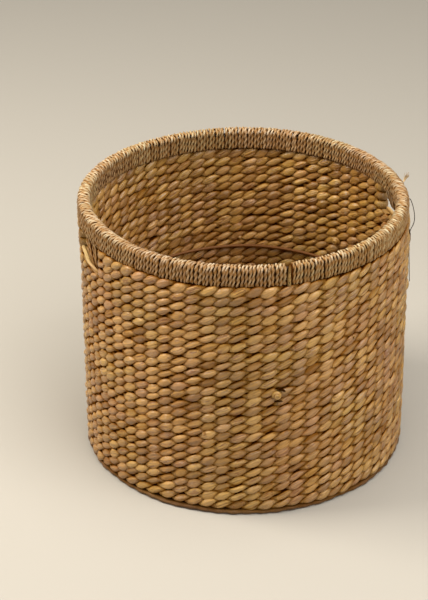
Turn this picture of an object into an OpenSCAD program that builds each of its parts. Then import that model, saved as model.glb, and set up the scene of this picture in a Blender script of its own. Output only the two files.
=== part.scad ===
// Round woven laundry basket.
// Courses of twined strand are threaded on upright wires between a foot and a cord-wrapped rim.
// Origin: centre of the underside. +Z up, -Y front, hand holes towards -X and +X.

/* [Overall] */
// Outer diameter of the rim band
rim_d = 420; // [360:5:480]
// Height from the floor to the top of the rim
basket_h = 350; // [300:5:400]

/* [Wall] */
// Thickness of a wall course, outside to inside
wall_t = 16; // [14:0.5:18]
// How far the middle of the wall stands outside the middle of the rim band
wall_out = 3; // [2:0.25:3.5]
// Clearance between neighbouring courses
course_gap = 0.4; // [0.3:0.05:0.8]

/* [Wire frame] */
// Number of upright stakes, an even number
stake_count = 70; // [60:2:80]
// Diameter of the stakes and of the base spokes
stake_d = 2.6; // [2:0.1:3]
// Diameter of the three hoops
hoop_d = 4; // [3:0.25:5]
// Clearance of a wire or a hoop in the weave
wire_fit = 0.3; // [0.2:0.05:0.4]

/* [Rim] */
// Height of the rim band
rim_h = 26.6; // [24:0.2:32]
// Thickness of the rim band, outside to inside
rim_t = 18; // [17:0.5:21]
// Thickness of the cord lashing round the core
lash_t = 4.2; // [3.6:0.1:4.3]
// Radius of the rim's upper edges
rim_edge_r = 7; // [5.5:0.5:8]
// Radius of the rim's lower edges
rim_foot_r = 3; // [2:0.5:4]

/* [Hand holes] */
// Courses that a hand hole is high
hole_courses = 3; // [2:1:4]
// Bays between stakes that a hand hole is wide, an odd number
hole_bays = 5; // [3:2:7]
// Bays that the left hand hole sits in front of the basket's side
left_shift = 1; // [0:1:3]
// Bays that the right hand hole sits in front of the basket's side
right_shift = 0; // [0:1:3]
// Diameter of the strand along the bottom of a hand hole
sill_d = 6; // [4:0.5:8]

/* [Foot and base] */
// Height of the foot course, with the gap above it
foot_h = 8; // [7.2:0.2:10]
// Width of the foot course, outside to inside
foot_t = 14; // [12:0.5:16]
// Radius of the foot course's edges
foot_edge_r = 3; // [1.5:0.25:3.5]
// Strand left under the bottom hoop
foot_floor_t = 1.6; // [1.2:0.1:2]
// Height of the base above the floor
base_lift = 1.5; // [1:0.25:3]
// Thickness of the upper and the lower layer of the base
base_layer_t = 4.9; // [4:0.1:6]
// Width of one ridge of the base weave
base_ridge_w = 12.6; // [10:0.2:16]
// Radius of the grooves between the ridges of the base
base_groove_r = 1.6; // [1:0.1:2.4]
// Number of full-length base spokes
spoke_count = 16; // [12:1:20]
// Radius of the small ring at the middle of the spokes
hub_r = 10; // [9:0.5:14]
// Distance from the centre to where the second set of spokes starts
spoke_mid_r = 60; // [50:1:80]
// Distance from the centre to where the third set of spokes starts
spoke_outer_r = 122; // [110:1:150]

/* [Loose thread] */
// Diameter of the loose thread's tail
tail_d = 1; // [0.8:0.1:2]
// Bays in front of the basket's side where the tail leaves the rim
tail_bays = 2.5; // [1.5:0.1:5]

/* [Hidden] */
$fn = 96;
// Number of wall courses, one node each
COURSES = 25;
function course_name(n) = str("wall_course_", n < 10 ? "0" : "", n);

// Colours
hyacinth = "#b48a4e";
seagrass = "#9c8460";
wire_brown = "#4a2f1c";
core_tan = "#c2a368";
thread_dark = "#2e2620";

// Plan
bay = 360 / stake_count;
rim_r = rim_d / 2 - rim_t / 2;
wall_r = rim_r + wall_out;
wire_hole_d = stake_d + 2 * wire_fit;

// Heights of the courses
rim_z = basket_h - rim_h;
course_pitch = (rim_z - foot_h) / COURSES;
course_h = course_pitch - course_gap;
flat_min = 0.1;
// A course's rounded end is slimmer all round than the course, so their faces never lie together
return_trim = 0.3;
course_edge_r = min(course_h / 2, (wall_t - wire_hole_d) / 2) - flat_min;
function course_z(n) = foot_h + (n - 1) * course_pitch;

// Hand holes: centres, stakes beside them and the arcs of wall between them
holes = [180 + left_shift * bay, -right_shift * bay];
hole_half = hole_bays / 2 * bay;
front_arc = [holes[0] + hole_half, 360 + holes[1] - hole_half];
back_arc = [holes[1] + hole_half, holes[0] - hole_half];
first_open = COURSES - hole_courses + 1;
sill_top = course_z(first_open) - course_gap;
function stake_angle(k) = (k + 0.5) * bay;
function off_hole(a, h) = acos(cos(a - h));
function is_cut(a) = min(off_hole(a, holes[0]), off_hole(a, holes[1])) < hole_half - bay / 4;
stake_angles = [for (k = [0 : stake_count - 1]) stake_angle(k)];
full_stakes = [for (a = stake_angles) if (!is_cut(a)) a];
cut_stakes = [for (a = stake_angles) if (is_cut(a)) a];

// Rim
cavity_w = rim_t - 2 * lash_t;
cavity_edge_r = rim_edge_r - lash_t;
top_hoop_z = basket_h - lash_t - wire_fit - hoop_d / 2;
stake_top = top_hoop_z - hoop_d / 2 - wire_fit;
core_in = rim_r - cavity_w / 2 + wire_fit;
core_out = wall_r - stake_d / 2 - wire_fit;
core_low = rim_z + lash_t + wire_fit;
core_edge_r = 1.5;

// Foot and hoops
bottom_hoop_z = foot_floor_t + wire_fit + hoop_d / 2;
stake_low = bottom_hoop_z + hoop_d / 2 + wire_fit;
cut_stake_top = sill_top - 1;

// The spreader hoop sits in the groove inside the wall between two courses
HOOP_COURSE = 13;
spreader_z = course_z(HOOP_COURSE + 1) - course_gap / 2;
spreader_reach = course_edge_r + hoop_d / 2 + wire_fit;
spreader_rise = course_edge_r + course_gap / 2;
spreader_r = wall_r - wall_t / 2 + course_edge_r - sqrt(spreader_reach ^ 2 - spreader_rise ^ 2);

// Sill strand, resting on the outer shoulder of the course under the hole
sill_out = 3;
sill_r = wall_r + sill_out;
shoulder_r = wall_r + wall_t / 2 - course_edge_r;
sill_reach = course_edge_r + sill_d / 2 + wire_fit;
sill_z = sill_top - course_edge_r + sqrt(sill_reach ^ 2 - (sill_r - shoulder_r) ^ 2);
sill_half = hole_half - asin((wall_t / 2 + wire_fit + 0.2) / wall_r);

// Base
spoke_z = base_lift + base_layer_t + wire_fit + stake_d / 2;
under_r = wall_r - foot_t / 2 - wire_fit;
upper_r = wall_r - wall_t / 2 - wire_fit;
upper_low = spoke_z + stake_d / 2 + wire_fit;
spoke_end = under_r;
ridge_first = base_ridge_w * 1.5;

// Tail of the lashing thread: distance outside the rim, sideways, and from the rim's top
tail_route = [
    [0.4, 0, -9], [2.4, 0, -10], [4.2, 0.5, -15], [5.2, 1, -22], [5.6, 1, -30], [5, 1, -38],
    [3.8, 0.5, -44], [2.9, 0, -50], [2.7, 0, -58], [2.7, -0.5, -68], [2.8, -0.5, -80],
    [3, 0, -94], [3.1, 0, -108], [3.3, 0.5, -124]];
tail_sides = 8;

// Rectangle with rounded corners, centred
module round_bar(w, h, r) {
    square([w - 2 * r, h], center = true);
    square([w, h - 2 * r], center = true);
    for (sx = [-1, 1], sy = [-1, 1])
        translate([sx * (w / 2 - r), sy * (h / 2 - r)]) circle(r);
}

// Upright band section from z0 to z1, flat at the foot and rounded at the top
module arch_section(w, z0, z1, top_r) {
    translate([-w / 2, z0]) square([w, z1 - z0 - top_r]);
    translate([-w / 2 + top_r, z1 - 2 * top_r]) square([w - 2 * top_r, 2 * top_r]);
    for (s = [-1, 1])
        translate([s * (w / 2 - top_r), z1 - top_r]) circle(top_r);
}

// The same band with its lower edges rounded too
module band_section(w, z0, z1, top_r, foot_r) {
    arch_section(w, z0 + foot_r, z1, top_r);
    translate([0, z0 + 2 * foot_r]) round_bar(w, 4 * foot_r, foot_r);
}

// Section of one wall course: a strand outside the stake and one inside it, drawn into one
module course_section(trim = 0) {
    round_bar(wall_t - 2 * trim, course_h - 2 * trim, course_edge_r - trim);
}

module wire_ring(r, z, d) {
    rotate_extrude() translate([r, z]) circle(d / 2);
}

// Rounded end of a course, turned round the stake at angle a
module course_return(a) {
    rotate([0, 0, a]) translate([wall_r, 0, 0]) rotate_extrude() intersection() {
        course_section(return_trim);
        translate([0, -course_h]) square([wall_t, 2 * course_h]);
    }
}

// Stretch of a course between two stakes, turned round the stake at each end
module course_arc(ends) {
    rotate([0, 0, ends[0]]) rotate_extrude(angle = ends[1] - ends[0])
        translate([wall_r, 0]) course_section();
    for (a = ends) course_return(a);
}

// Clearance holes for the stakes at the given angles
module stake_holes(angles, z0, h) {
    for (a = angles)
        rotate([0, 0, a]) translate([wall_r, 0, z0]) cylinder(d = wire_hole_d, h = h);
}

// One course of the wall, counted from the foot
module wall_course(n) {
    color(hyacinth) translate([0, 0, course_z(n) + course_h / 2]) difference() {
        if (n < first_open) {
            rotate_extrude() translate([wall_r, 0]) course_section();
        } else {
            course_arc(front_arc);
            course_arc(back_arc);
        }
        stake_holes(n < first_open ? stake_angles : full_stakes, -course_h, 2 * course_h);
    }
}

// Edge that the basket stands on, with a groove for the bottom hoop
module foot_course() {
    foot_top = foot_h - course_gap;
    groove_w = hoop_d + 2 * wire_fit;
    color(hyacinth) rotate_extrude() translate([wall_r, 0]) difference() {
        translate([0, foot_top / 2]) round_bar(foot_t, foot_top, foot_edge_r);
        translate([-groove_w / 2, foot_floor_t]) square([groove_w, foot_h]);
    }
}

// Strand along the bottom of the hand hole centred at angle a
module sill(a) {
    color(hyacinth) rotate([0, 0, a - sill_half]) rotate_extrude(angle = 2 * sill_half)
        translate([sill_r, sill_z]) circle(sill_d / 2);
}

module sill_left() {
    sill(holes[0]);
}

module sill_right() {
    sill(holes[1]);
}

module rim_core() {
    core_w = core_out - core_in;
    core_top = stake_top;
    color(core_tan) rotate_extrude()
        translate([core_in + core_w / 2, (core_low + core_top) / 2])
            round_bar(core_w, core_top - core_low, core_edge_r);
}

// Cord wrapping as a shell round the core, the stakes' tops and the top hoop
module rim_lashing() {
    color(seagrass) difference() {
        rotate_extrude() translate([rim_r, 0]) difference() {
            band_section(rim_t, rim_z, basket_h, rim_edge_r, rim_foot_r);
            arch_section(cavity_w, rim_z + lash_t, basket_h - lash_t, cavity_edge_r);
        }
        stake_holes(full_stakes, rim_z - 1, lash_t + 2);
    }
}

module stakes() {
    color(wire_brown) {
        for (a = full_stakes)
            rotate([0, 0, a]) translate([wall_r, 0, stake_low])
                cylinder(d = stake_d, h = stake_top - stake_low);
        for (a = cut_stakes)
            rotate([0, 0, a]) translate([wall_r, 0, stake_low])
                cylinder(d = stake_d, h = cut_stake_top - stake_low);
    }
}

// Equally spaced radial wires from radius r0 to the foot, the first one at angle a0
module spoke_set(count, a0, r0) {
    for (k = [0 : count - 1])
        rotate([0, 0, a0 + k * 360 / count]) translate([r0, 0, spoke_z]) rotate([0, 90, 0])
            cylinder(d = stake_d, h = spoke_end - r0);
}

module base_spokes() {
    step = 360 / spoke_count;
    color(wire_brown) {
        spoke_set(spoke_count, 0, hub_r + stake_d / 2 + wire_fit);
        spoke_set(spoke_count, step / 2, spoke_mid_r);
        spoke_set(2 * spoke_count, step / 4, spoke_outer_r);
    }
}

module hub_ring() {
    color(wire_brown) wire_ring(hub_r, spoke_z, stake_d);
}

module bottom_hoop() {
    color(wire_brown) wire_ring(wall_r, bottom_hoop_z, hoop_d);
}

module spreader_hoop() {
    color(wire_brown) wire_ring(spreader_r, spreader_z, hoop_d);
}

module top_hoop() {
    color(wire_brown) wire_ring(rim_r, top_hoop_z, hoop_d);
}

// Layer of the base from z0, radius r, grooved between its ridges on the face at height face_z
module base_layer(r, z0, face_z) {
    color(hyacinth) rotate_extrude() difference() {
        translate([0, z0]) square([r, base_layer_t]);
        for (x = [ridge_first : base_ridge_w : r - base_ridge_w / 2])
            translate([x, face_z]) circle(base_groove_r);
    }
}

module base_weave_under() {
    base_layer(under_r, base_lift, base_lift);
}

module base_weave_upper() {
    base_layer(upper_r, upper_low, upper_low + base_layer_t);
}

// Tube along a route, with its rings kept square to the route
function unit(v) = v / norm(v);
function along(p, i) = unit(p[min(i + 1, len(p) - 1)] - p[max(i - 1, 0)]);
function across(t) = unit([0, 1, 0] - t.y * t);
function ring_at(p, i, d, sides) =
    let (t = along(p, i), u = across(t), v = cross(t, u))
    [for (k = [0 : sides - 1]) p[i] + d / 2 * (cos(360 * k / sides) * u + sin(360 * k / sides) * v)];

module route_tube(p, d, sides) {
    last = len(p) - 1;
    points = [for (i = [0 : last]) each ring_at(p, i, d, sides)];
    walls = [for (i = [0 : last - 1], k = [0 : sides - 1])
        let (a = i * sides + k, b = i * sides + (k + 1) % sides)
        [b, a, a + sides, b + sides]];
    start_cap = [for (k = [0 : sides - 1]) k];
    end_cap = [for (k = [sides - 1 : -1 : 0]) last * sides + k];
    polyhedron(points = points, faces = concat([start_cap], walls, [end_cap]));
}

module lashing_tail() {
    color(thread_dark) rotate([0, 0, -tail_bays * bay]) translate([rim_d / 2, 0, basket_h])
        route_tube(tail_route, tail_d, tail_sides);
}

for (n = [1 : COURSES])
    wall_course(n);
foot_course();
sill_left();
sill_right();
rim_core();
rim_lashing();
stakes();
base_spokes();
hub_ring();
bottom_hoop();
spreader_hoop();
top_hoop();
base_weave_under();
base_weave_upper();
lashing_tail();
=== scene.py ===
"""Round woven laundry basket: twined wall, corded rim and base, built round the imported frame."""

import logging
import math
from dataclasses import dataclass, field
from enum import Enum, IntEnum

import bmesh
import bpy
import numpy as np
from mathutils import Matrix, Vector


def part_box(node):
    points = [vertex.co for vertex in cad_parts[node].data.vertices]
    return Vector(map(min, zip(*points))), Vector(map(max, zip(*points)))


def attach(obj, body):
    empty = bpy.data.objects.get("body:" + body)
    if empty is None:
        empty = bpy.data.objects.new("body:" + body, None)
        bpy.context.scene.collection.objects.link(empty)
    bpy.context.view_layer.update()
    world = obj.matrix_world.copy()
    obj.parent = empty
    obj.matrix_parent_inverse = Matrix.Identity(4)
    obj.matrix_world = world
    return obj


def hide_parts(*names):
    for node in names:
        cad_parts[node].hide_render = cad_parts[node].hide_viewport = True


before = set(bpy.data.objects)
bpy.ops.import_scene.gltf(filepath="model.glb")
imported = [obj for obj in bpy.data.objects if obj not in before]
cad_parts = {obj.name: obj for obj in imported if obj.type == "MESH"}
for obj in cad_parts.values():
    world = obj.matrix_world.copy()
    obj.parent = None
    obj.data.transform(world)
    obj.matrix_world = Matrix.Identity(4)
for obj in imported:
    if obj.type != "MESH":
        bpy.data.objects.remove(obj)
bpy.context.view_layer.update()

LOG = logging.getLogger("basket")
MM = 0.001
TURN = 2.0 * math.pi
BODY = "root"
SEED = 4127

# Width of a crease round a strand's section, as an angle
CREASE_WIDTH = 0.3
# How far apart the grain of two strands is set, so that they never look the same
GRAIN_STEP = 3.1
# Distance at which the two edges of a rolled strand are joined
SEAM = 1e-7
# Shares of a strand's half-width between which the painted shade on its upper and lower flanks fades out
SHADED_FLANK = (0.28, 0.75)
# How strongly painted shade darkens the upper and lower flanks of the wall's strands
WALL_FLANK_SHADE = 0.56
# Shares of a bay between which one stitch's size and tone give way to the next one's
STITCH_CHANGE = (0.34, 0.66)


class Slot(Enum):
    """Material slots of the record that the finishes stand for."""

    HYACINTH = "hyacinth"
    SEAGRASS = "seagrass_cord"
    CORE = "core"
    WIRE = "wire"
    HOOP = "hoop"
    THREAD = "thread"


class Face(Enum):
    """Which way the two faces of a woven sheet look."""

    WALL = "out and in"
    BASE = "up and down"


# Shared helpers


def ring_centre(node: str) -> tuple[float, float, float]:
    """Reads a round hoop from the frame.

    Args:
        node: Name of a hoop's node.

    Returns:
        Radius of the hoop's centreline, its height and the wire's radius.
    """
    low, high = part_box(node)
    wire = (high.z - low.z) / 2
    return (high.x - low.x) / 2 - wire, (high.z + low.z) / 2, wire


def unit_rows(rows: np.ndarray) -> np.ndarray:
    """Scales each row of an array to length one."""
    return rows / np.linalg.norm(rows, axis=1, keepdims=True)


def smoothstep(value: np.ndarray, low: float, high: float) -> np.ndarray:
    """Rises smoothly from 0 at low to 1 at high."""
    part = np.clip((value - low) / (high - low), 0.0, 1.0)
    return part * part * (3.0 - 2.0 * part)


def rim_swell(angle: np.ndarray) -> np.ndarray:
    """How far the hand-wound rim swells out of true, mostly beside one hand hole.

    Args:
        angle: Angles round the basket.

    Returns:
        Extra radius in metres at each angle.
    """
    turn = np.degrees(angle) % 360.0
    left = 3.4 * np.exp(-(((turn - 148.0) / 38.0) ** 4))
    back = 1.6 * np.exp(-(((turn - 60.0) / 40.0) ** 4))
    return (left + back) * MM


def rim_rise(angle: np.ndarray) -> np.ndarray:
    """How far the top of the rim's winding stands up, most at the back of the basket.

    Args:
        angle: Angles round the basket in radians.

    Returns:
        Rise in metres at each angle.
    """
    return 2.8 * MM * smoothstep(np.sin(angle - math.radians(28.0)), -0.3, 0.85)


def smooth_line(knots: np.ndarray, steps: int) -> np.ndarray:
    """Runs a smooth line through knots.

    Args:
        knots: Points that the line goes through.
        steps: Number of points to return.

    Returns:
        Points along the line, evenly shared between the knots.
    """
    knots = np.asarray(knots, dtype=float)
    padded = np.vstack([2 * knots[0] - knots[1], knots, 2 * knots[-1] - knots[-2]])
    share = np.linspace(0.0, len(knots) - 1.0, steps)
    index = np.minimum(share.astype(int), len(knots) - 2)
    part = (share - index)[:, None]
    before, start, stop, after = (padded[index + offset] for offset in range(4))
    bend = (2 * before - 5 * start + 4 * stop - after) * part**2
    twist = (3 * start - before - 3 * stop + after) * part**3
    return 0.5 * (2 * start + (stop - before) * part + bend + twist)


def on_wall(radius: float, degrees: float, height: float) -> np.ndarray:
    """Point at a radius, an angle in degrees and a height."""
    turn = math.radians(degrees)
    return np.array([radius * math.cos(turn), radius * math.sin(turn), height])


def place(obj: bpy.types.Object, nodes: tuple[str, ...] = ()) -> None:
    """Puts a finished piece on the basket's body and the nodes it stands for."""
    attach(obj, BODY)
    if nodes:
        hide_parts(*nodes)


def shade_smooth(mesh: bpy.types.Mesh) -> None:
    """Shades every face of a mesh smooth."""
    mesh.polygons.foreach_set("use_smooth", [True] * len(mesh.polygons))


# Strands


class Col(IntEnum):
    """Columns of a strand's run: its place on the weave, its size and its look."""

    BAY = 0
    FACE = 1
    ROW = 2
    HALF_FACE = 3
    HALF_ROW = 4
    TONE = 5
    HUE = 6
    CREASE_AT = 7
    CREASE_BY = 8


@dataclass
class Path:
    """A strand's centreline in metres, one row per ring, with its sizes, its look and the hub that its
    painted shade is measured from.
    """

    centre: np.ndarray
    # hub, hub_mask and reach set painted shade: the nearer a point lies to its hub, within reach, the darker
    # the finish paints it
    hub: np.ndarray
    half_side: np.ndarray
    half_lift: np.ndarray
    look: np.ndarray
    hub_mask: tuple[float, float, float] = (1.0, 1.0, 0.0)
    reach: float = 8.0 * MM
    closed: bool = True
    up: np.ndarray = field(default_factory=lambda: np.array([0.0, 0.0, 1.0]))
    # How strongly painted shade darkens the strand's upper and lower flanks
    flank_shade: float = 0.0

    def frames(self) -> tuple[np.ndarray, np.ndarray]:
        """Works out the directions that the section lies in.

        Returns:
            Sideways and lifting unit vectors, square to the centreline.
        """
        if self.closed:
            along = np.roll(self.centre, -1, axis=0) - np.roll(self.centre, 1, axis=0)
        else:
            along = np.gradient(self.centre, axis=0)
        along = unit_rows(along)
        side = unit_rows(np.cross(along, self.up))
        return side, np.cross(side, along)

    def lengths(self) -> np.ndarray:
        """Distance of each ring along the centreline from the first one."""
        steps = np.linalg.norm(np.diff(self.centre, axis=0), axis=1)
        return np.concatenate([[0.0], np.cumsum(steps)])


@dataclass(frozen=True)
class Section:
    """The section of a strand, and how its surface is shaped."""

    points: int = 14
    power: float = 2.35
    lumps: float = 0.025
    ply_depth: float = 0.0
    ply_lay: float = 1.0

    def angles(self) -> np.ndarray:
        """Angles of the section's points."""
        return np.arange(self.points) * TURN / self.points

    def outline(self) -> tuple[np.ndarray, np.ndarray]:
        """Sideways and lifting parts of a section one unit in half-size each way."""
        share = 2.0 / self.power
        cosine, sine = np.cos(self.angles()), np.sin(self.angles())
        across = np.sign(cosine) * np.abs(cosine) ** share
        upward = np.sign(sine) * np.abs(sine) ** share
        return across, upward

    def size(self, angle: np.ndarray, run: np.ndarray, look: np.ndarray) -> np.ndarray:
        """Local size of the section: ripples, a crease along a stitch and the hollows between plies.

        Args:
            angle: Angle of each point in its section.
            run: Distance of each point along the strand.
            look: Tone, hue and crease of each point.

        Returns:
            Factor on the section's half-sizes.
        """
        ripple = np.sin(3.0 * angle + 9.0 * look[:, 0] + run * 160.0)
        ripple += 0.6 * np.sin(5.0 * angle - 14.0 * look[:, 0] + run * 370.0)
        off_line = np.abs((angle - look[:, 2] + math.pi) % TURN - math.pi)
        groove = look[:, 3] * np.exp(-((off_line / CREASE_WIDTH) ** 2))
        plies = self.ply_depth * (np.cos(2.0 * angle - TURN * run / self.ply_lay + look[:, 2]) - 1.0)
        return 1.0 + self.lumps * ripple - groove + plies


def strand_sheet(bm: bmesh.types.BMesh, rings: int, points: int, level: int) -> None:
    """Adds a flat sheet that is later rolled into a strand, one square per ring and point.

    Args:
        bm: Mesh that gets the sheet.
        rings: Number of steps along the strand.
        points: Number of steps round its section.
        level: Height of the sheet, which tells it from the others in the same mesh.
    """
    stretch = Matrix.Diagonal((rings / 2, points / 2, 1.0, 1.0))
    shape = Matrix.Translation((rings / 2, points / 2, level)) @ stretch
    bmesh.ops.create_grid(bm, x_segments=rings, y_segments=points, size=1.0, matrix=shape)


def strand_mesh(name: str, paths: list[Path], section: Section) -> bpy.types.Mesh:
    """Makes one mesh of strands that follow the given paths.

    Args:
        name: Name of the mesh.
        paths: Centrelines with their sizes, each becoming one strand.
        section: Shape that the strands have across.

    Returns:
        The mesh, with a grain vector along each strand and a tone colour for each point: the stitch's tone, a
        mask of painted shade, and the stitch's hue.
    """
    bm = bmesh.new()
    for level, path in enumerate(paths):
        strand_sheet(bm, len(path.centre) - (not path.closed), section.points, level)
    mesh = bpy.data.meshes.new(name)
    bm.to_mesh(mesh)
    bm.free()

    spot = np.empty(len(mesh.vertices) * 3)
    mesh.vertices.foreach_get("co", spot)
    spot = spot.reshape(-1, 3)
    step, point, level = np.rint(spot).astype(int).T
    point %= section.points

    across, upward = section.outline()
    angles = section.angles()[point]
    moved = np.empty_like(spot)
    grain = np.empty_like(spot)
    tone = np.ones((len(spot), 4))
    for index, path in enumerate(paths):
        mine = level == index
        ring = step[mine] % len(path.centre)
        side, lift = path.frames()
        run, look, angle = path.lengths()[ring], path.look[ring], angles[mine]
        size = section.size(angle, run, look)
        reach = (across[point[mine]] * path.half_side[ring] * size)[:, None] * side[ring]
        rise = (upward[point[mine]] * path.half_lift[ring] * size)[:, None] * lift[ring]
        moved[mine] = path.centre[ring] + reach + rise
        away = np.linalg.norm((moved[mine] - path.hub[ring]) * np.array(path.hub_mask), axis=1)
        grain[mine, 0] = run + index * GRAIN_STEP + look[:, 0] * GRAIN_STEP
        grain[mine, 1] = np.cos(angle) * path.half_side[ring]
        grain[mine, 2] = np.sin(angle) * path.half_lift[ring]
        tone[mine, 0] = look[:, 0]
        # Painted shade mask: low near the hub, deep in the weave, and on the strand's upper and lower flanks;
        # the finish paints its edge and crevice shade from it
        shaded_flank = 1.0 - smoothstep(np.abs(across[point[mine]]), *SHADED_FLANK)
        tone[mine, 1] = np.clip(away / path.reach, 0.0, 1.0) * (1.0 - path.flank_shade * shaded_flank)
        tone[mine, 2] = look[:, 1]
    mesh.vertices.foreach_set("co", moved.ravel())
    grains = mesh.attributes.new("grain", "FLOAT_VECTOR", "POINT")
    grains.data.foreach_set("vector", grain.ravel())
    # The tone attribute holds the stitch's tone, the painted shade mask and the hue
    tones = mesh.attributes.new("tone", "FLOAT_COLOR", "POINT")
    tones.data.foreach_set("color", tone.ravel())
    bm = bmesh.new()
    bm.from_mesh(mesh)
    bmesh.ops.remove_doubles(bm, verts=bm.verts, dist=SEAM)
    open_edges = [edge for edge in bm.edges if edge.is_boundary]
    if open_edges:
        bmesh.ops.holes_fill(bm, edges=open_edges, sides=0)
    bmesh.ops.recalc_face_normals(bm, faces=bm.faces)
    bm.to_mesh(mesh)
    bm.free()
    shade_smooth(mesh)
    return mesh


def press_flat(mesh: bpy.types.Mesh, floor: float) -> None:
    """Flattens what sags below the height that the basket stands on."""
    spot = np.empty(len(mesh.vertices) * 3)
    mesh.vertices.foreach_get("co", spot)
    spot = spot.reshape(-1, 3)
    spot[:, 2] = np.maximum(spot[:, 2], floor)
    mesh.vertices.foreach_set("co", spot.ravel())


def loose_strand(points: np.ndarray, radius: float | np.ndarray, tone: float, outward: np.ndarray,
                 closed: bool = False) -> Path:
    """Makes the path of a plain strand that is lightest on its outward side, with painted shade on its inward
    side.

    Args:
        points: Centreline.
        radius: Radius, one for all or one for each point.
        tone: Place of its colour among the finish's tones.
        outward: Direction that it faces, away from its painted shade, one for all or one for each point.
        closed: Whether its ends meet.

    Returns:
        The path.
    """
    size = np.broadcast_to(np.asarray(radius, dtype=float), (len(points),))
    hub = points - outward * size[:, None]
    look = np.tile([tone, 0.5, 0.0, 0.0], (len(points), 1))
    return Path(points, hub, size, size, look, (1.0, 1.0, 1.0), 2.0 * float(size.max()), closed, outward)


def new_object(name: str, data: bpy.types.ID, finish: bpy.types.Material) -> bpy.types.Object:
    """Links a new object with its material to the scene."""
    obj = bpy.data.objects.new(name, data)
    data.materials.append(finish)
    bpy.context.scene.collection.objects.link(obj)
    return obj


# Weaving


@dataclass
class StitchTable:
    """Random differences between the stitches of one strand."""

    rows: np.ndarray

    @classmethod
    def draw(cls, rng: np.random.Generator, count: int, rough: float = 1.0) -> "StitchTable":
        """Draws the differences.

        Args:
            rng: Seeded source of numbers.
            count: Number of stitches.
            rough: How strong the differences in size and place are.

        Returns:
            A table with one row per stitch, in the columns of a run.
        """
        rows = np.zeros((count, len(Col)))
        rows[:, Col.FACE] = rng.normal(0.0, 0.42 * MM * rough, count)
        rows[:, Col.ROW] = rng.normal(0.0, 0.68 * MM * rough, count)
        rows[:, Col.HALF_FACE] = rng.normal(1.0, 0.085 * rough, count)
        rows[:, Col.HALF_ROW] = rng.normal(1.0, 0.115 * rough, count)
        rows[:, Col.TONE] = rng.random(count)
        rows[:, Col.HUE] = rng.random(count)
        rows[:, Col.CREASE_AT] = rng.normal(0.0, 0.55, count)
        rows[:, Col.CREASE_BY] = rng.choice([0.0, 0.08, 0.16, 0.27], count, p=[0.35, 0.3, 0.2, 0.15])
        return cls(rows)

    def along(self, bay: np.ndarray) -> np.ndarray:
        """Blends the rows from stitch to stitch, quickly where a stitch dives between stakes."""
        low = np.floor(bay).astype(int)
        part = smoothstep(bay - low, *STITCH_CHANGE)[:, None]
        count = len(self.rows)
        return self.rows[low % count] * (1.0 - part) + self.rows[(low + 1) % count] * part


@dataclass(frozen=True)
class Twine:
    """How a pair of strands is twined: swing to each face, climb along the row, and strand sizes."""

    swing: float
    climb: float
    row_at_stake: float
    row_at_cross: float
    face_at_stake: float
    face_at_cross: float
    rings: int = 8

    def run(self, bay: np.ndarray, strand: int, table: StitchTable) -> np.ndarray:
        """Lays out one strand of the pair.

        Args:
            bay: Place of each ring along the row, a whole number at each stake.
            strand: 0 or 1, the second being half a twist behind.
            table: Differences between the strand's stitches.

        Returns:
            One row per ring, in the columns of Col.
        """
        phase = math.pi * (bay + strand)
        at_stake = np.cos(phase) ** 2
        extra = table.along(bay)
        rows = extra.copy()
        rows[:, Col.BAY] = bay
        rows[:, Col.FACE] = self.swing * np.cos(phase) + extra[:, Col.FACE] * at_stake
        rows[:, Col.ROW] = self.climb * np.sin(phase) + extra[:, Col.ROW]
        face = self.face_at_cross + (self.face_at_stake - self.face_at_cross) * at_stake
        row = self.row_at_cross + (self.row_at_stake - self.row_at_cross) * at_stake
        rows[:, Col.HALF_FACE] = face * (1.0 + (extra[:, Col.HALF_FACE] - 1.0) * at_stake)
        rows[:, Col.HALF_ROW] = row * (1.0 + (extra[:, Col.HALF_ROW] - 1.0) * at_stake)
        back = np.cos(phase) < 0.0
        rows[back, Col.CREASE_AT] += math.pi
        return rows


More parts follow.
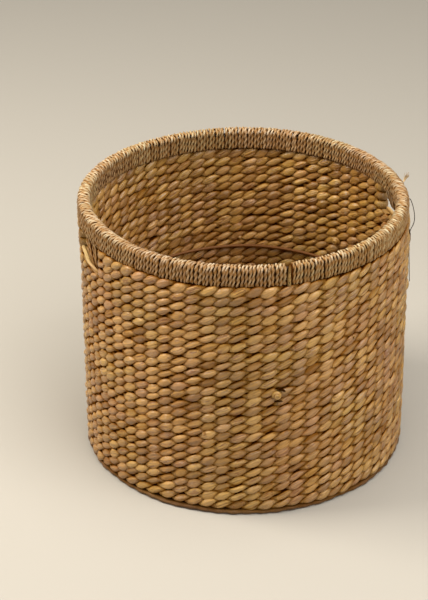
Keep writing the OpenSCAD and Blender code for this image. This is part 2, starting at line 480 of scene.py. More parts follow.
@dataclass
class Weave:
    """Where the rows of a wall or a base lie, and how far they drift from the exact frame.

    mid is the radius of a wall's middle, or the height of a base's.
    """

    stakes: int
    mid: float
    face: Face
    drift: float = 0.0
    seed: int = SEED
    stake_drift: np.ndarray = field(init=False)
    waves: np.ndarray = field(init=False)

    ROWS = 30
    WAVES = 5

    def __post_init__(self) -> None:
        """Draws the drift of the stakes and the waves of the rows."""
        rng = np.random.default_rng(self.seed)
        steps = rng.normal(0.0, 1.0, (self.ROWS, self.stakes))
        walk = np.zeros_like(steps)
        for row in range(self.ROWS):
            before = walk[row - 1] if row else steps[0] * 0.5
            walk[row] = 0.88 * before + 0.42 * steps[row]
        self.stake_drift = walk * self.drift
        self.waves = np.column_stack([
            rng.uniform(0.15, 0.45, self.WAVES) * self.drift,
            np.array([2, 3, 5, 9, 13]),
            rng.uniform(0.0, TURN, self.WAVES),
            rng.uniform(-0.35, 0.35, self.WAVES),
        ])

    def angle(self, bay: np.ndarray, row: int, radius: float) -> np.ndarray:
        """Angle of each place along a row, with the stakes a little out of true."""
        low = np.floor(bay).astype(int)
        part = smoothstep(bay - low, 0.0, 1.0)
        drift = self.stake_drift[row]
        shift = drift[low % self.stakes] * (1.0 - part) + drift[(low + 1) % self.stakes] * part
        return (bay + 0.5) * TURN / self.stakes + shift / radius

    def wave(self, angle: np.ndarray, row: int) -> np.ndarray:
        """Height of a row's waves at each angle."""
        rise = np.zeros_like(angle)
        for size, count, start, twist in self.waves:
            rise += size * np.sin(count * angle + start + twist * row)
        return rise

    def path(self, run: np.ndarray, middle: float, row: int, ends: tuple[float, float] | None = None) -> Path:
        """Places a run of strand on the weave.

        Args:
            run: Rows in the columns of Col.
            middle: Height of a wall's row, or radius of a base's row.
            row: Number of the row, which picks its drift.
            ends: First and last stake of a run that turns back, whose turns get no more painted shade than
                its stitches.

        Returns:
            The strand's path in metres.
        """
        angle = self.angle(run[:, Col.BAY], row, self.mid if self.face is Face.WALL else middle)
        look = run[:, [Col.TONE, Col.HUE, Col.CREASE_AT, Col.CREASE_BY]].copy()
        if self.face is Face.WALL:
            lean = 0.6 * float(smoothstep(np.array(row), 20.0, 25.0)) * rim_swell(angle)
            radius = self.mid + run[:, Col.FACE] + lean
            height = middle + run[:, Col.ROW] + self.wave(angle, row)
            # The hub lies on the wall's middle, so painted shade darkens the stitches where they dive between
            # the stakes
            hub_radius, hub_height, mask = self.mid + lean, height, (1.0, 1.0, 0.0)
            side, lift = run[:, Col.HALF_FACE], run[:, Col.HALF_ROW]
        else:
            radius = middle + run[:, Col.ROW]
            height = self.mid + run[:, Col.FACE]
            # The hub lies on the base's middle plane, so painted shade darkens the strands where they dive
            # between the spokes
            hub_radius, hub_height, mask = radius, self.mid, (0.0, 0.0, 1.0)
            side, lift = run[:, Col.HALF_ROW], run[:, Col.HALF_FACE]
            look[:, 2] += math.pi / 2
        centre = np.column_stack([radius * np.cos(angle), radius * np.sin(angle), height])
        # At the turns the hub stays at the end stakes, which keeps painted shade off the turns
        if ends:
            held = np.clip(run[:, Col.BAY], ends[0], ends[1])
            angle = self.angle(held, row, self.mid)
        hub = np.column_stack([hub_radius * np.cos(angle), hub_radius * np.sin(angle),
                               np.broadcast_to(hub_height, angle.shape)])
        # Only the wall's strands get painted shade on their flanks
        flank_shade = WALL_FLANK_SHADE if self.face is Face.WALL else 0.0
        return Path(centre, hub, side, lift, look, mask, flank_shade=flank_shade)


@dataclass
class Wall:
    """Twined wall: the closed courses, the courses broken by the hand holes, and the foot."""

    rng: np.random.Generator
    finish: bpy.types.Material
    # Finish of the foot band, dark all over as painted shadow along the basket's foot
    foot_shade_finish: bpy.types.Material
    courses: int = 25
    stakes: int = 70
    hole_courses: int = 3
    hole_bays: int = 5
    left_shift: int = 1
    right_shift: int = 0
    twine: Twine = Twine(2.5 * MM, 3.9 * MM, 6.3 * MM, 4.0 * MM, 5.3 * MM, 5.9 * MM)
    foot_half: float = 6.8 * MM
    # How far above the foot band's middle the hub of its painted shade sits, which darkens its top most
    foot_shade_lift: float = 3.0 * MM
    top_plump: float = 1.1
    turn_rings: int = 9
    weave: Weave = field(init=False)

    def __post_init__(self) -> None:
        """Finds the middle of the wall from the hoop that is threaded in its foot."""
        radius, _, _ = ring_centre("bottom_hoop")
        self.weave = Weave(self.stakes, radius, Face.WALL, drift=1.25 * MM)

    def course_node(self, number: int) -> str:
        """Name of a course's node, counted from the foot."""
        return f"wall_course_{number:02d}"

    def closed_run(self, twine: Twine, strand: int, rough: float) -> np.ndarray:
        """Lays one strand all the way round."""
        bay = np.arange(self.stakes * twine.rings) / twine.rings
        return twine.run(bay, strand, StitchTable.draw(self.rng, self.stakes, rough))

    def hole_edges(self) -> tuple[tuple[int, int], tuple[int, int]]:
        """Works out the stakes between which the wall goes on past the hand holes.

        Returns:
            First and last stake of the front stretch and of the back one.
        """
        half_hole = (self.hole_bays + 1) // 2
        left = self.stakes // 2 + self.left_shift - half_hole
        right = self.stakes - self.right_shift - half_hole
        return (left + self.hole_bays, right), (right + self.hole_bays - self.stakes, left)

    def turned_run(self, ends: tuple[int, int]) -> np.ndarray:
        """Lays a strand out along a broken course, round its end stakes and back on the other face.

        Args:
            ends: First and last stake.

        Returns:
            One closed run, in the columns of Col.
        """
        twine = self.twine
        steps = (ends[1] - ends[0]) * twine.rings + 1
        bay = np.linspace(ends[0], ends[1], steps)
        flat = smoothstep(np.minimum(bay - ends[0], ends[1] - bay), 0.0, 0.6)
        there = twine.run(bay, 0, StitchTable.draw(self.rng, self.stakes))
        back = twine.run(bay, 1, StitchTable.draw(self.rng, self.stakes))
        for rows in (there, back):
            rows[:, Col.ROW] *= flat
        back = back[::-1]
        far = self.end_turn(there[-1], back[0], 1.0)
        near = self.end_turn(back[-1], there[0], -1.0)
        return np.vstack([there, far, back, near])

    def end_turn(self, start: np.ndarray, stop: np.ndarray, way: float) -> np.ndarray:
        """Turns a strand half round a stake.

        Args:
            start: Last row before the turn.
            stop: First row after it.
            way: 1 to go round beyond the stake along the row, -1 to go round before it.

        Returns:
            The rows between the two.
        """
        share = np.linspace(0.0, 1.0, self.turn_rings + 2)[1:-1]
        rows = start * (1.0 - share)[:, None] + stop * share[:, None]
        swing = (abs(start[Col.FACE]) + abs(stop[Col.FACE])) / 2
        bay_length = TURN * self.weave.mid / self.stakes
        reach = swing * 0.95 * np.sin(math.pi * share)
        rows[:, Col.BAY] = start[Col.BAY] + way * reach / bay_length
        rows[:, Col.FACE] = math.copysign(swing, start[Col.FACE]) * np.cos(math.pi * share)
        rows[:, Col.HALF_ROW] = np.maximum(rows[:, Col.HALF_ROW], 6.6 * MM)
        return rows

    def foot_path(self) -> Path:
        """Lays the thick smooth strand that the basket stands on.

        Returns:
            The strand's path.
        """
        low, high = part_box("foot_course")
        count = self.stakes * self.twine.rings
        angle = np.arange(count) * TURN / count
        radius, height = self.weave.mid, (low.z + high.z) / 2
        sway = self.weave.wave(angle, 0) + 0.3 * MM * np.sin(self.stakes * angle)
        points = np.column_stack([(radius + sway) * np.cos(angle), (radius + sway) * np.sin(angle),
                                  np.full(count, height)])
        # The hub sits above the band's middle, so painted shade darkens its top most
        hub = np.column_stack([radius * np.cos(angle), radius * np.sin(angle),
                               np.full(count, height + self.foot_shade_lift)])
        swell = 1.0 + 0.04 * np.sin(self.stakes * angle + 1.0) + 0.03 * np.sin(23.0 * angle)
        tone = 0.3 + 0.2 * np.sin(7.0 * angle) * np.sin(3.0 * angle + 2.0)
        look = np.column_stack([tone, np.full(count, 0.5), np.zeros((count, 2))])
        half_height = (high.z - low.z) * 0.49 * swell
        return Path(points, hub, self.foot_half * swell, half_height, look, (1.0, 1.0, 1.0))

    def build(self) -> None:
        """Builds every course and the foot."""
        section = Section()
        first_open = self.courses - self.hole_courses + 1
        for number in range(1, self.courses + 1):
            low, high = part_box(self.course_node(number))
            middle = (low.z + high.z) / 2
            spans: tuple = (None, None)
            if number < first_open:
                runs = [self.closed_run(self.twine, strand, 1.0) for strand in (0, 1)]
            else:
                spans = self.hole_edges()
                runs = [self.turned_run(ends) for ends in spans]
            if number == self.courses:
                for rows in runs:
                    rows[:, Col.HALF_ROW] *= self.top_plump
            paths = [self.weave.path(rows, middle, number, ends) for rows, ends in zip(runs, spans)]
            mesh = strand_mesh(f"twined_course_{number:02d}", paths, section)
            course = new_object(mesh.name, mesh, self.finish)
            place(course, (self.course_node(number),))
        # The foot band takes the dark finish: painted shadow along the basket's foot
        mesh = strand_mesh("foot_band", [self.foot_path()],
                           Section(points=20, power=2.5, lumps=0.03, ply_depth=0.05, ply_lay=64.0 * MM))
        press_flat(mesh, 0.0)
        place(new_object(mesh.name, mesh, self.foot_shade_finish), ("foot_course",))
        LOG.info("wall: %d courses and a foot", self.courses)


@dataclass
class BaseMat:
    """Round base, twined over radial spokes that grow in number outwards."""

    rng: np.random.Generator
    finish: bpy.types.Material
    spokes: int = 16
    first_ring: float = 25.2 * MM
    ridge: float = 12.6 * MM
    rings: int = 14
    doubled_from: float = 60.0 * MM
    fourfold_from: float = 122.0 * MM
    twine: Twine = Twine(3.8 * MM, 2.6 * MM, 6.3 * MM, 3.2 * MM, 2.4 * MM, 3.4 * MM, 6)

    def spokes_at(self, radius: float) -> int:
        """Number of spokes that a row of the base crosses at a radius."""
        if radius < self.doubled_from:
            return self.spokes
        return self.spokes * (2 if radius < self.fourfold_from else 4)

    @staticmethod
    def knot(height: float) -> Path:
        """Coils a strand up tightly inside the ring at the middle of the base.

        Args:
            height: Height of the base's middle.

        Returns:
            The strand's path.
        """
        steps, turns = 40, 1.7
        share = np.linspace(0.0, 1.0, steps)
        wind = share * turns * TURN
        spread = (0.6 + 4.2 * share) * MM
        points = np.column_stack([spread * np.cos(wind), spread * np.sin(wind), np.full(steps, height)])
        path = loose_strand(points, 2.7 * MM, 0.4, np.array([0.0, 0.0, 1.0]))
        path.half_lift = np.full(steps, 4.4 * MM)
        path.reach = 7.0 * MM
        return path

    def build(self) -> None:
        """Builds the rows of the base in two pieces, and the coiled knot at its middle."""
        low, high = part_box("base_spokes")
        height = (low.z + high.z) / 2
        section = Section(points=10)
        batches: list[list[Path]] = [[self.knot(height)], []]
        for row in range(-1, self.rings):
            radius = self.first_ring + row * self.ridge
            count = self.spokes_at(radius)
            weave = Weave(count, height, Face.BASE, drift=0.15 * MM, seed=SEED + count)
            bay = np.arange(count * self.twine.rings) / self.twine.rings
            for strand in (0, 1):
                rows = self.twine.run(bay, strand, StitchTable.draw(self.rng, count, 0.7))
                batches[row >= self.rings // 2].append(weave.path(rows, radius, row + 1))
        for name, paths, node in (
            ("base_rows_inner", batches[0], "base_weave_upper"),
            ("base_rows_outer", batches[1], "base_weave_under"),
        ):
            mesh = strand_mesh(name, paths, section)
            place(new_object(name, mesh, self.finish), (node,))
        LOG.info("base: %d rows", self.rings + 1)


# Rim


@dataclass
class RimLashing:
    """Two-ply cord wound round and round the rim's core."""

    rng: np.random.Generator
    finish: bpy.types.Material
    end_finish: bpy.types.Material
    turns: int = 280
    rings: int = 96
    pieces: int = 5
    cord_r: float = 2.4 * MM
    gap: float = math.radians(1.9)
    gap_at: float = math.radians(271.85)
    edge_r: float = 7.0 * MM
    foot_r: float = 3.4 * MM
    half_thickness: float = 9.0 * MM

    def outline(self) -> tuple[np.ndarray, np.ndarray, np.ndarray]:
        """Works out the closed outline that the cord's centreline follows across the rim.

        Returns:
            Share of the way round, radius and height of points close together.
        """
        low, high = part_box("rim_lashing")
        middle = high.x - self.half_thickness
        corners = [
            (middle + self.half_thickness, low.z, self.foot_r, -90.0),
            (middle + self.half_thickness, high.z, self.edge_r, 0.0),
            (middle - self.half_thickness, high.z, self.edge_r, 90.0),
            (middle - self.half_thickness, low.z, self.foot_r, 180.0),
        ]
        points = []
        for x, z, radius, start in corners:
            centre_x = x - math.copysign(radius, x - middle)
            centre_z = z + (radius if z == low.z else -radius)
            for step in range(9):
                turn = math.radians(start + step * 90.0 / 8)
                reach = radius - self.cord_r
                points.append((centre_x + reach * math.cos(turn), centre_z + reach * math.sin(turn)))
        points.append(points[0])
        line = np.array(points)
        run = np.concatenate([[0.0], np.cumsum(np.hypot(*np.diff(line, axis=0).T))])
        return run / run[-1], line[:, 0], line[:, 1]

    def paths(self) -> list[Path]:
        """Winds the cord round the rim, cut into lengths so that each mesh stays light.

        Returns:
            One path for each length of cord.
        """
        share, radii, heights = self.outline()
        middle_r, middle_z = radii.mean(), heights.mean()
        keys = self.turns * 4
        sway = self.rng.normal(0.0, 0.55 * MM, keys + 1)
        lift = self.rng.normal(0.0, 0.16 * MM, keys + 1)
        tone = self.rng.random(self.turns + 1)
        hue = self.rng.random(self.turns + 1)
        fat = self.rng.normal(1.0, 0.05, self.turns + 1)
        slip = np.cumsum(self.rng.normal(0.0, 1.3, 2 * self.turns + 2))
        per_piece = self.turns // self.pieces
        made = []
        for piece in range(self.pieces):
            turn = piece * per_piece + np.arange(per_piece * self.rings + 1) / self.rings
            radius = np.interp(turn % 1.0, share, radii)
            height = np.interp(turn % 1.0, share, heights)
            bulge = np.interp(turn * 4, np.arange(keys + 1), lift)
            outward = unit_rows(np.column_stack([radius - middle_r, height - middle_z]))
            radius += outward[:, 0] * bulge
            height += outward[:, 1] * bulge
            shift = np.interp(turn * 4, np.arange(keys + 1), sway)
            wound = (TURN - self.gap) * turn / self.turns
            angle = wound + shift / middle_r + self.gap_at + self.gap / 2
            radius += rim_swell(angle)
            height = height + rim_rise(angle) * smoothstep(height, middle_z, heights.max())
            centre = np.column_stack([radius * np.cos(angle), radius * np.sin(angle), height])
            # The hub lies inside each turn of cord, so painted shade darkens the cord towards the core and in
            # the gaps between turns
            inner_r = radius - outward[:, 0] * self.cord_r
            hub = np.column_stack([inner_r * np.cos(angle), inner_r * np.sin(angle),
                                   height - outward[:, 1] * self.cord_r])
            index = turn.astype(int)
            size = self.cord_r * fat[index]
            # Lighter tones on the top few millimetres of the winding: a painted highlight where the light
            # falls on the rim's top
            lighter = 0.35 * smoothstep(height, heights.max() - 4.0 * MM, heights.max())
            phase = np.interp(turn * 2, np.arange(len(slip)), slip)
            look = np.column_stack([tone[index] * 0.65 + lighter, hue[index], phase, np.zeros(len(turn))])
            around = np.column_stack([-np.sin(angle), np.cos(angle), np.zeros_like(angle)])
            made.append(Path(centre, hub, size, size, look, (1.0, 1.0, 1.0), 2.0 * self.cord_r,
                             closed=False, up=around))
        return made

    def cord_end(self) -> Path:
        """Lays the rough end of the cord beside the gap where the winding starts and stops.

        Returns:
            The end's path.
        """
        degrees = math.degrees(self.gap_at - self.gap * 0.22)
        low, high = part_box("rim_lashing")
        top, foot, out = high.z, low.z, high.x
        knots = [on_wall(out - 9.0 * MM, degrees + 0.5, top - 2.4 * MM),
                 on_wall(out - 4.0 * MM, degrees + 0.3, top - 3.0 * MM),
                 on_wall(out - 2.0 * MM, degrees, top - 8.0 * MM),
                 on_wall(out - 1.6 * MM, degrees - 0.1, top - 16.0 * MM),
                 on_wall(out - 1.4 * MM, degrees, foot + 0.5 * MM)]
        points = smooth_line(knots, 48)
        outward = unit_rows(points * np.array([1.0, 1.0, 0.0]))
        fat = np.interp(np.linspace(0.0, 1.0, 48), [0.0, 0.3, 0.8, 1.0], [1.2, 1.7, 2.2, 2.3]) * MM
        return loose_strand(points, fat, 0.5, outward)

    def sunk_turn(self) -> Path:
        """Lays one turn of cord that has sunk in under the others at the gap, coloured all over as painted
        shade.

        Returns:
            The turn's path.
        """
        share, radii, heights = self.outline()
        turn = np.arange(self.rings) / self.rings
        radius = np.interp(turn, share, radii) * 0.9 + radii.mean() * 0.1
        height = np.interp(turn, share, heights) * 0.9 + heights.mean() * 0.1
        angle = self.gap_at + self.gap * 0.3
        points = np.column_stack([radius * math.cos(angle), radius * math.sin(angle), height])
        around = np.array([-math.sin(angle), math.cos(angle), 0.0])
        path = loose_strand(points, 1.7 * MM, 0.1, around, closed=True)
        # A reach far beyond the cord's size gives the whole turn the crevice colour: painted shade in the gap
        path.reach = 14.0 * MM
        return path

    def loops(self) -> list[Path]:
        """Hangs slack loops of cord under the rim inside the right hand hole.

        Returns:
            One path for each loop.
        """
        low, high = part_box("rim_lashing")
        made = []
        for number in range(7):
            degrees = -9.0 + 1.7 * number + self.rng.normal(0.0, 0.4)
            drop = self.rng.uniform(4.0, 11.0) * MM
            knots = [on_wall(high.x - 18.5 * MM, degrees - 0.8, low.z + 10.0 * MM),
                     on_wall(high.x - 18.0 * MM, degrees - 0.5, low.z + 1.0 * MM),
                     on_wall(high.x - 15.0 * MM, degrees, low.z - drop),
                     on_wall(high.x - 10.0 * MM, degrees + 0.5, low.z - drop * 0.8),
                     on_wall(high.x - 7.0 * MM, degrees + 0.9, low.z + 2.0 * MM)]
            points = smooth_line(knots, 30)
            outward = -unit_rows(points * np.array([1.0, 1.0, 0.0]))
            made.append(loose_strand(points, 1.3 * MM, self.rng.random(), outward))
        return made

    def build(self) -> None:
        """Builds the winding, its rough end and its slack loops."""
        section = Section(points=10, power=2.0, lumps=0.03, ply_depth=0.26, ply_lay=-9.5 * MM)
        for number, path in enumerate(self.paths()):
            mesh = strand_mesh(f"rim_winding_{number + 1}", [path], section)
            place(new_object(mesh.name, mesh, self.finish), ("rim_lashing",))
        mesh = strand_mesh("rim_cord_end", [self.cord_end()], Section(points=12, power=2.0, lumps=0.08))
        place(new_object(mesh.name, mesh, self.end_finish), ())
        mesh = strand_mesh("rim_slack_loops", [*self.loops(), self.sunk_turn()], section)
        place(new_object(mesh.name, mesh, self.finish), ())
        LOG.info("rim: %d turns of cord", self.turns)


# Hand holes, loose ends and the spreader


@dataclass
class HandHole:
    """Sill strand of one hand hole, and at the left one the slack cords over its front end."""

    side: str
    rng: np.random.Generator
    pale: bpy.types.Material
    cord: bpy.types.Material

    def sill(self) -> list[Path]:
        """Lays the pale strand along the bottom of the hole, thinner towards its ends, and its bed.

        Returns:
            The paths of the strand and of its bed.
        """
        low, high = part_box(f"sill_{self.side}")
        half = (high.z - low.z) / 2
        reach = max(-low.x, high.x) - half
        start, stop = math.asin(low.y / reach), math.asin(high.y / reach)
        steps = 60
        share = np.linspace(0.0, 1.0, steps)
        angle = start + (stop - start) * share
        if self.side == "left":
            angle = math.pi - angle
        sag = 0.5 * MM * np.sin(3.0 * math.pi * share)
        radius = reach + 0.6 * MM * np.sin(2.0 * math.pi * share)
        points = np.column_stack([radius * np.cos(angle), radius * np.sin(angle), low.z + half + sag])
        # The outward side tilts upwards, so the strand's painted shade lies on its underside
        outward = unit_rows(np.column_stack([np.cos(angle), np.sin(angle), np.full(steps, 0.9)]))
        fat = np.interp(share, [0.0, 0.12, 0.6, 0.9, 1.0], [1.8, 2.3, 2.6, 2.8, 2.5]) * MM
        return [loose_strand(points, fat, 0.6, outward), self.bed(angle, low.z)]

    def bed(self, angle: np.ndarray, height: float) -> Path:
        """Lays the flat strand that closes the course under the hole.

        Args:
            angle: Angles along the hole.
            height: Height of the sill's underside.

        Returns:
            The strand's path.
        """
        middle, _, _ = ring_centre("bottom_hoop")
        points = np.column_stack([middle * np.cos(angle), middle * np.sin(angle),
                                  np.full(len(angle), height + 0.5 * MM)])
        path = loose_strand(points, 2.2 * MM, 0.0, np.array([0.0, 0.0, 1.0]))
        path.half_side = np.full(len(angle), 6.0 * MM)
        return path

    def jamb_cords(self) -> list[Path]:
        """Hangs slack cords from the rim down to the front end of the left sill.

        Returns:
            One path for each cord.
        """
        rim_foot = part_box("rim_lashing")[0].z
        sill_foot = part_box(f"sill_{self.side}")[0].z
        made = []
        for number in range(8):
            top = 184.6 + 1.25 * number + self.rng.normal(0.0, 0.3)
            end = 193.4 + 0.3 * number
            radius = 0.2040 + 0.0040 * self.rng.random()
            knots = [on_wall(radius, top, rim_foot + 3.0 * MM),
                     on_wall(radius, top + 0.8, rim_foot - 8.0 * MM),
                     on_wall(radius + 0.0015, (top + end) / 2 + 0.9, rim_foot - 20.0 * MM),
                     on_wall(0.2055, end, sill_foot + 2.0 * MM)]
            points = smooth_line(knots, 36)
            fat = np.interp(np.linspace(0.0, 1.0, 36), [0.0, 0.7, 1.0], [2.0, 1.8, 0.9]) * MM
            outward = unit_rows(points * np.array([1.0, 1.0, 0.0]))
            made.append(loose_strand(points, fat, self.rng.random() * 0.8, outward))
        return made

    def build(self) -> None:
        """Builds the sill strand, and the cords at the left hole."""
        section = Section(points=12, power=2.0, lumps=0.03, ply_depth=0.1, ply_lay=46.0 * MM)
        mesh = strand_mesh(f"sill_strand_{self.side}", self.sill(), section)
        place(new_object(mesh.name, mesh, self.pale), (f"sill_{self.side}",))
        if self.side == "left":
            section = Section(points=10, power=2.0, lumps=0.04, ply_depth=0.25, ply_lay=9.0 * MM)
            mesh = strand_mesh("jamb_cords_left", self.jamb_cords(), section)
            place(new_object(mesh.name, mesh, self.cord), ())
        LOG.info("hand hole: %s", self.side)


@dataclass
class LooseEnds:
    """Strand ends that curl out of the wall, dark scraps of strand that paint shade into gaps of the weave,
    and a frayed tuft on the rim.
    """

    rng: np.random.Generator
    finish: bpy.types.Material
    frayed: bpy.types.Material
    # Finish of the dark scraps, painted shade
    dark: bpy.types.Material
    # Scraps of painted shade: thickness in millimetres, then angle, height and radius of each bend
    hollows: tuple[tuple[float, tuple[tuple[float, float, float], ...]], ...] = (
        (1.5, ((266.6, 0.1826, 0.2090), (267.57, 0.1843, 0.2108), (268.75, 0.1831, 0.2112),
               (269.94, 0.1803, 0.2116), (271.1, 0.1765, 0.2108))),
        (1.0, ((265.2, 0.1674, 0.2095), (267.85, 0.1658, 0.2106), (270.6, 0.1652, 0.2100))),
        (1.1, ((-9.0, 0.2950, 0.2126), (-9.8, 0.2875, 0.2142), (-10.6, 0.2790, 0.2142),
               (-11.2, 0.2700, 0.2126))),
    )
    curls: tuple[tuple[float, float, float, float], ...] = (
        (0.2125, 267.45, 0.1751, 1.4), (0.1950, 36.5, 0.2061, -1.4), (0.1955, 97.7, 0.2019, -0.7),
        (0.1955, 78.2, 0.1884, -0.6), (0.2118, 243.0, 0.118, 0.6), (0.2118, 296.0, 0.232, 0.6),
    )

    def curl(self, radius: float, degrees: float, height: float, size: float) -> Path:
        """Coils one strand end up like a snail.

        Args:
            radius: Radius of the wall's face there.
            degrees: Angle round the basket.
            height: Height above the floor.
            size: Size beside the largest, less than 0 on the inner face.

        Returns:
            The strand's path.
        """
        facing = math.copysign(1.0, size)
        turn = math.radians(degrees)
        normal = np.array([math.cos(turn), math.sin(turn), 0.0])
        across = np.array([-math.sin(turn), math.cos(turn), 0.0])
        share = np.linspace(0.0, 1.0, 44)
        wind = share * 1.6 * TURN
        spread = (0.7 + 2.5 * share) * MM * abs(size)
        lift = (1.6 - 3.4 * share**2) * MM * facing
        points = on_wall(radius, degrees, height) + np.outer(spread * np.cos(wind), across)
        points = points + np.outer(spread * np.sin(wind), np.array([0.0, 0.0, 1.0])) + np.outer(lift, normal)
        fat = np.interp(share, [0.0, 0.2, 1.0], [1.5, 1.8, 1.7]) * MM * abs(size)
        return loose_strand(points, fat, self.rng.uniform(0.3, 0.55), normal * facing)

    def hollow(self, radius: float, places: tuple[tuple[float, float, float], ...]) -> Path:
        """Lays a scrap of strand as deep brown as a hollow in the weave: painted shade where the weave has a
        shadowed gap.

        Args:
            radius: Radius of the scrap at its thickest, in millimetres.
            places: Angle, height and radius round the basket of its bends.

        Returns:
            The strand's path.
        """
        knots = [on_wall(reach, degrees, height) for degrees, height, reach in places]
        points = smooth_line(np.array(knots), 24)
        fat = np.interp(np.linspace(0.0, 1.0, 24), [0.0, 0.4, 0.7, 1.0], [0.3, 0.9, 1.0, 0.3]) * radius * MM
        path = loose_strand(points, fat, 0.1, unit_rows(points * np.array([1.0, 1.0, 0.0])))
        # A reach far beyond the scrap's size gives it the crevice colour all over: painted shade
        path.reach = 12.0 * MM
        return path

    def tuft(self) -> list[Path]:
        """Frays a cord's end into fibres that stand up from the rim.

        Returns:
            One path for each fibre.
        """
        _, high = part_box("rim_lashing")
        made = []
        for _ in range(22):
            root = on_wall(high.x - 0.6 * MM, self.rng.normal(-2.0, 0.35), high.z - 4.0 * MM)
            lean = self.rng.normal(0.0, 1.0, 3) * np.array([1.5, 1.8, 1.6]) * MM
            length = self.rng.uniform(0.6, 1.0)
            middle = root + np.array([2.6, 0.3, 4.6]) * MM * length + lean * 0.25
            tip = root + np.array([6.2, 1.0, 12.0]) * MM * length + lean
            points = smooth_line(np.array([root, middle, tip]), 12)
            fat = np.interp(np.linspace(0.0, 1.0, 12), [0.0, 0.6, 1.0], [0.5, 0.38, 0.14]) * MM
            # The fibres are lightest on their side towards the front, with painted shade on their backs
            made.append(loose_strand(points, fat, self.rng.random(), np.array([0.3, -0.95, 0.0])))
        return made

    def build(self) -> None:
        """Builds the curls, the dark scraps of painted shade and the tuft."""
        mesh = strand_mesh("curled_ends", [self.curl(*curl) for curl in self.curls],
                           Section(points=10, power=2.0, lumps=0.05))
        place(new_object(mesh.name, mesh, self.finish), ())
        # Dark scraps of strand: painted shade in shadowed gaps of the weave
        mesh = strand_mesh("shade_scraps", [self.hollow(*hollow) for hollow in self.hollows],
                           Section(points=10, power=2.0, lumps=0.08))
        place(new_object(mesh.name, mesh, self.dark), ())
        mesh = strand_mesh("rim_tuft", self.tuft(), Section(points=5, power=2.0, lumps=0.0))
        place(new_object(mesh.name, mesh, self.frayed), ())
        LOG.info("loose ends: %d curls and a tuft", len(self.curls))


@dataclass
class Spreader:
    """Bare hoop that is bent by hand and tucked in against the inside of the wall."""

    finish: bpy.types.Material
    rise: float = 4.0 * MM
    tuck: float = 1.6 * MM

    def build(self) -> None:
        """Builds the hoop."""
        radius, height, wire = ring_centre("spreader_hoop")
        angle = np.arange(240) * TURN / 240
        bow = np.exp(-((((np.degrees(angle) - 74.0 + 180.0) % 360.0 - 180.0) / 34.0) ** 4))
        lift = self.rise * bow + 0.5 * MM * np.sin(5.0 * angle + 1.0) + 0.3 * MM * np.sin(11.0 * angle)
        reach = radius - self.tuck * bow
        points = np.column_stack([reach * np.cos(angle), reach * np.sin(angle), height + lift])
        path = loose_strand(points, wire, 0.5, -unit_rows(points * np.array([1.0, 1.0, 0.0])), closed=True)
        mesh = strand_mesh("spreader_wire", [path], Section(points=12, power=2.0, lumps=0.01))
        place(new_object(mesh.name, mesh, self.finish), ("spreader_hoop",))
        LOG.info("spreader: %.0f mm across", 2.0 * radius / MM)


# Finishes


def add_node(tree: bpy.types.NodeTree, kind: str, **inputs: object) -> bpy.types.Node:
    """Adds a shader node and sets the inputs that are named, with spaces written as underscores."""
    node = tree.nodes.new(kind)
    for name, value in inputs.items():
        node.inputs[name.replace("_", " ")].default_value = value
    return node


def add_math(tree: bpy.types.NodeTree, operation: str, first: object, second: object) -> bpy.types.NodeSocket:
    """Adds a step of arithmetic.

    Args:
        tree: Tree that gets the node.
        operation: Blender's name of the operation.
        first: Socket or number.
        second: Socket or number.

    Returns:
        The result's socket.
    """
    node = tree.nodes.new("ShaderNodeMath")
    node.operation = operation
    for index, value in enumerate((first, second)):
        if isinstance(value, bpy.types.NodeSocket):
            tree.links.new(value, node.inputs[index])
        else:
            node.inputs[index].default_value = value
    return node.outputs[0]


def add_mix(tree: bpy.types.NodeTree, blend: str, factor: object, first: object,
            second: object) -> bpy.types.NodeSocket:
    """Adds a colour mix.

    Args:
        tree: Tree that gets the node.
        blend: Blender's name of the blend.
        factor: Socket or number.
        first: Socket or colour.
        second: Socket or colour.

    Returns:
        The mixed colour's socket.
    """
    node = tree.nodes.new("ShaderNodeMix")
    node.data_type = "RGBA"
    node.blend_type = blend
    for name, value in (("Factor_Float", factor), ("A_Color", first), ("B_Color", second)):
        socket = next(item for item in node.inputs if item.identifier == name)
        if isinstance(value, bpy.types.NodeSocket):
            tree.links.new(value, socket)
        else:
            socket.default_value = value
    return next(item for item in node.outputs if item.identifier == "Result_Color")


def add_fade(tree: bpy.types.NodeTree, value: bpy.types.NodeSocket, ends: tuple[float, float],
             low: float = 1.0, high: float = 0.0) -> bpy.types.NodeSocket:
    """Adds a mask that goes smoothly from one level to another as a value rises.

    Args:
        tree: Tree that gets the node.
        value: Value that the mask follows.
        ends: Values between which the mask changes.
        low: Level below the first end.
        high: Level above the second.

    Returns:
        The mask's socket.
    """
    span = tree.nodes.new("ShaderNodeMapRange")
    span.interpolation_type = "SMOOTHSTEP"
    span.inputs["From Min"].default_value = ends[0]
    span.inputs["From Max"].default_value = ends[1]
    span.inputs["To Min"].default_value = low
    span.inputs["To Max"].default_value = high
    tree.links.new(value, span.inputs["Value"])
    return span.outputs[0]


def hex_colour(code: str) -> tuple[float, float, float, float]:
    """Turns a #rrggbb colour into Blender's linear one."""
    parts = [int(code[at:at + 2], 16) / 255 for at in (1, 3, 5)]
    linear = [part / 12.92 if part <= 0.04045 else ((part + 0.055) / 1.055) ** 2.4 for part in parts]
    return (*linear, 1.0)


